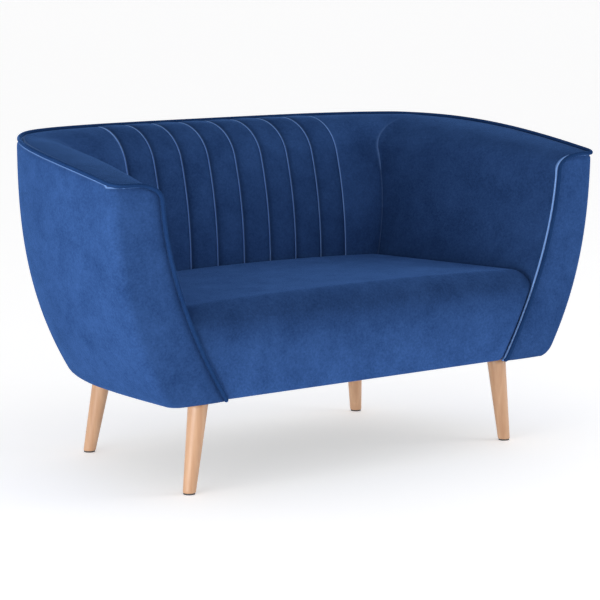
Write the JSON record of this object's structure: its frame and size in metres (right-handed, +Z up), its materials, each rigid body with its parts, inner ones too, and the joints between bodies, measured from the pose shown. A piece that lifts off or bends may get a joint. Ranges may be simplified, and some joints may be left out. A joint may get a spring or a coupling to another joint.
{
  "type": "sofa",
  "caption": "Small upholstered tub sofa with a flared shell, channelled back, one fixed seat cushion and splayed tapered wooden legs.",
  "frame": {"origin": "on the floor under the middle of the overall box", "axes": "+X along the width towards the arm on the right as seen from the front, -Y to the front, +Z up"},
  "size_m": [1.37, 0.6704, 0.7545],
  "materials": {
    "velvet": "royal blue velvet with a short nap and a soft sheen",
    "piping": "the same velvet wrapped over a cord",
    "beech": "clear satin lacquer on warm beech",
    "plywood": "bare plywood",
    "pine": "bare planed softwood",
    "zinc_steel": "zinc plated",
    "spring_steel": "oiled spring wire",
    "foam": "open-cell upholstery foam",
    "felt": "grey needled felt",
    "cambric": "black non-woven dust cover",
    "glide": "dark nylon"
  },
  "bodies": {
    "root": {"outside_arm_panel_right": "velvet", "outside_arm_panel_left": "velvet", "outside_back_panel": "velvet", "inner_arm_cover_right": "velvet", "inner_arm_cover_left": "velvet", "inner_arm_foam_right": "foam", "inner_arm_foam_left": "foam", "channelled_back_cover": "velvet", "channelled_back_foam": "foam", "seat_cover": "velvet", "seat_foam": "foam", "front_seat_rail": "pine", "back_seat_rail": "pine", "side_seat_rail_right": "pine", "side_seat_rail_left": "pine", "centre_stretcher": "pine", "arm_front_frame_right": "plywood", "arm_front_frame_left": "plywood", "arm_rear_post_right": "plywood", "arm_rear_post_left": "plywood", "arm_top_rail_right": "plywood", "arm_top_rail_left": "plywood", "back_top_rail": "plywood", "back_rib_left": "plywood", "back_rib_centre": "plywood", "back_rib_right": "plywood", "zigzag_spring_1": "spring_steel", "zigzag_spring_2": "spring_steel", "zigzag_spring_3": "spring_steel", "zigzag_spring_4": "spring_steel", "zigzag_spring_5": "spring_steel", "zigzag_spring_6": "spring_steel", "front_spring_clip_strip": "zinc_steel", "back_spring_clip_strip": "zinc_steel", "spring_felt": "felt", "front_leg_right": "beech", "front_leg_left": "beech", "front_leg_glide_right": "glide", "front_leg_glide_left": "glide", "front_corner_block_right": "pine", "front_corner_block_left": "pine", "front_leg_bolt_right": "zinc_steel", "front_leg_bolt_left": "zinc_steel", "front_tee_nut_right": "zinc_steel", "front_tee_nut_left": "zinc_steel", "back_leg_right": "beech", "back_leg_left": "beech", "back_leg_glide_right": "glide", "back_leg_glide_left": "glide", "back_corner_block_right": "pine", "back_corner_block_left": "pine", "back_leg_bolt_right": "zinc_steel", "back_leg_bolt_left": "zinc_steel", "back_tee_nut_right": "zinc_steel", "back_tee_nut_left": "zinc_steel", "dust_cover": "cambric", "edge_piping": "piping"}
  },
  "joints": []
}
